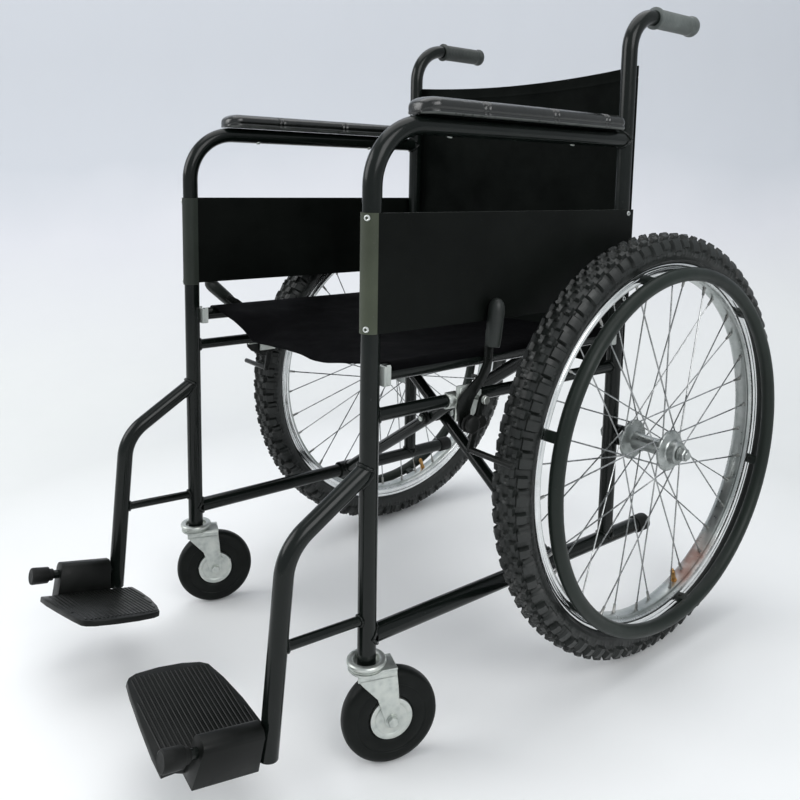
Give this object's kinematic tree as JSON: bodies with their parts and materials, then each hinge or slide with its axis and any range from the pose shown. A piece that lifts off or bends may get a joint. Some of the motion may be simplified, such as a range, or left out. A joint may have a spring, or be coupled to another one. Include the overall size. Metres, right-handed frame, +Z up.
{
  "type": "folding wheelchair",
  "caption": "Folding manual wheelchair with tube side frames, cross brace, spoked rear wheels with hand-rims, swivel casters, flip-up footplates and push-to-lock brakes.",
  "frame": {"origin": "on the floor, under the middle of the chair's bounding box", "axes": "+X to the occupant's left, +Y towards the push handles, +Z up"},
  "size_m": [0.726, 1.0108, 0.9224],
  "materials": {
    "frame_paint": "gloss black",
    "panel_paint": "satin black",
    "handrim_paint": "gloss black",
    "zinc": "zinc plated",
    "rim_chrome": "polished",
    "spoke_steel": "plated",
    "tyre_rubber": "matte",
    "black_rubber": "matte",
    "grip_rubber": "ribbed",
    "vinyl": "soft sheen",
    "black_plastic": "moulded",
    "brake_black": "satin black",
    "white_plastic": "moulded",
    "sling_cloth": "woven"
  },
  "bodies": {
    "right_frame": {"right_front_post": "frame_paint", "right_back_post": "frame_paint", "right_bottom_rail": "frame_paint", "right_mid_rail": "frame_paint", "right_hanger_tube": "frame_paint", "right_hanger_brace": "frame_paint", "right_pin_knob": "black_rubber", "right_arm_pad": "vinyl", "right_side_panel": "panel_paint", "right_push_grip": "grip_rubber", "right_rail_tip": "black_rubber", "right_front_saddle": "white_plastic", "right_rear_saddle": "white_plastic", "right_caster_race": "zinc", "right_wheel_axle": "zinc", "right_brake_bracket": "zinc", "back_sling": "sling_cloth"},
    "cross_front": {"cross_brace_front": "frame_paint", "brace_pivot_bolt": "zinc", "seat_sling": "sling_cloth"},
    "cross_rear": {"cross_brace_rear": "frame_paint"},
    "left_frame": {"left_front_post": "frame_paint", "left_back_post": "frame_paint", "left_bottom_rail": "frame_paint", "left_mid_rail": "frame_paint", "left_hanger_tube": "frame_paint", "left_hanger_brace": "frame_paint", "left_pin_knob": "black_rubber", "left_arm_pad": "vinyl", "left_side_panel": "panel_paint", "left_push_grip": "grip_rubber", "left_rail_tip": "black_rubber", "left_front_saddle": "white_plastic", "left_rear_saddle": "white_plastic", "left_caster_race": "zinc", "left_wheel_axle": "zinc", "left_brake_bracket": "zinc"},
    "left_rear_wheel": {"left_tyre": "tyre_rubber", "left_rim": "rim_chrome", "left_hub_and_spokes": "spoke_steel", "left_handrim": "handrim_paint"},
    "left_caster_swivel": {"left_caster_fork": "zinc"},
    "left_caster_wheel": {"left_caster_tyre": "tyre_rubber", "left_caster_hub": "zinc"},
    "left_footplate": {"left_footplate": "black_plastic"},
    "left_brake_lever": {"left_brake_lever": "brake_black"},
    "left_brake_shoe": {"left_brake_shoe": "brake_black"},
    "right_rear_wheel": {"right_tyre": "tyre_rubber", "right_rim": "rim_chrome", "right_hub_and_spokes": "spoke_steel", "right_handrim": "handrim_paint"},
    "right_caster_swivel": {"right_caster_fork": "zinc"},
    "right_caster_wheel": {"right_caster_tyre": "tyre_rubber", "right_caster_hub": "zinc"},
    "right_footplate": {"right_footplate": "black_plastic"},
    "right_brake_lever": {"right_brake_lever": "brake_black"},
    "right_brake_shoe": {"right_brake_shoe": "brake_black"}
  },
  "joints": [
    {"name": "fold", "type": "hinge", "parent": "right_frame", "child": "cross_front", "pos_m": [-0.2365, 0.03585, 0.15137], "axis": [0, -0.9993, 0.0384], "range_deg": [0, 38], "deforming": ["seat_sling", "back_sling"]},
    {"name": "fold_brace_pivot", "type": "hinge", "parent": "cross_front", "child": "cross_rear", "pos_m": [0, 0.05432, 0.30652], "axis": [0, -0.9993, 0.0384], "range_deg": [-76.2, 0.2]},
    {"name": "fold_left_rail", "type": "hinge", "parent": "cross_rear", "child": "left_frame", "pos_m": [0.2365, 0.06083, 0.15041], "axis": [0, -0.9993, 0.0384], "range_deg": [-0.2, 38.2]},
    {"name": "left_wheel_spin", "type": "hinge", "parent": "left_frame", "child": "left_rear_wheel", "pos_m": [0.303, 0.20047, 0.30496], "axis": [1, 0, 0], "continuous": true},
    {"name": "left_caster_turn", "type": "hinge", "parent": "left_frame", "child": "left_caster_swivel", "pos_m": [0.2365, -0.25548, 0.12234], "axis": [0, 0.0384, 0.9993], "continuous": true},
    {"name": "left_caster_spin", "type": "hinge", "parent": "left_caster_swivel", "child": "left_caster_wheel", "pos_m": [0.24625, -0.23114, 0.05846], "axis": [0.9397, -0.3418, 0.0131], "continuous": true},
    {"name": "left_footplate_flip", "type": "hinge", "parent": "left_frame", "child": "left_footplate", "pos_m": [0.2365, -0.43738, 0.11331], "axis": [0, 0.9724, -0.2335], "range_deg": [0, 80.2]},
    {"name": "left_brake_turn", "type": "hinge", "parent": "left_frame", "child": "left_brake_lever", "pos_m": [0.2516, -0.11382, 0.3951], "axis": [1, 0, 0], "range_deg": [0, 60]},
    {"name": "left_brake_shoe_turn", "type": "hinge", "parent": "left_frame", "child": "left_brake_shoe", "pos_m": [0.2597, -0.0908, 0.42123], "axis": [1, 0, 0], "range_deg": [-0.1, 7.6]},
    {"name": "right_wheel_spin", "type": "hinge", "parent": "right_frame", "child": "right_rear_wheel", "pos_m": [-0.303, 0.20047, 0.30496], "axis": [1, 0, 0], "continuous": true},
    {"name": "right_caster_turn", "type": "hinge", "parent": "right_frame", "child": "right_caster_swivel", "pos_m": [-0.2365, -0.25548, 0.12234], "axis": [0, 0.0384, 0.9993], "continuous": true},
    {"name": "right_caster_spin", "type": "hinge", "parent": "right_caster_swivel", "child": "right_caster_wheel", "pos_m": [-0.22675, -0.23114, 0.05846], "axis": [0.9397, -0.3418, 0.0131], "continuous": true},
    {"name": "right_footplate_flip", "type": "hinge", "parent": "right_frame", "child": "right_footplate", "pos_m": [-0.2365, -0.43738, 0.11331], "axis": [0, -0.9724, 0.2335], "range_deg": [0, 80.2]},
    {"name": "right_brake_turn", "type": "hinge", "parent": "right_frame", "child": "right_brake_lever", "pos_m": [-0.2516, -0.11382, 0.3951], "axis": [1, 0, 0], "range_deg": [-53, 7]},
    {"name": "right_brake_shoe_turn", "type": "hinge", "parent": "right_frame", "child": "right_brake_shoe", "pos_m": [-0.2597, -0.0908, 0.42123], "axis": [1, 0, 0], "range_deg": [-6.72, 0.97]}
  ],
  "couplings": [
    {"joint": "fold_brace_pivot", "follows": "fold", "ratio": -2},
    {"joint": "fold_left_rail", "follows": "fold", "ratio": 1},
    {"joint": "left_footplate_flip", "follows": "fold", "ratio": 2.1053},
    {"joint": "left_brake_shoe_turn", "follows": "left_brake_turn", "ratio": 0.125},
    {"joint": "right_footplate_flip", "follows": "fold", "ratio": 2.1053},
    {"joint": "right_brake_shoe_turn", "follows": "right_brake_turn", "ratio": 0.125}
  ]
}
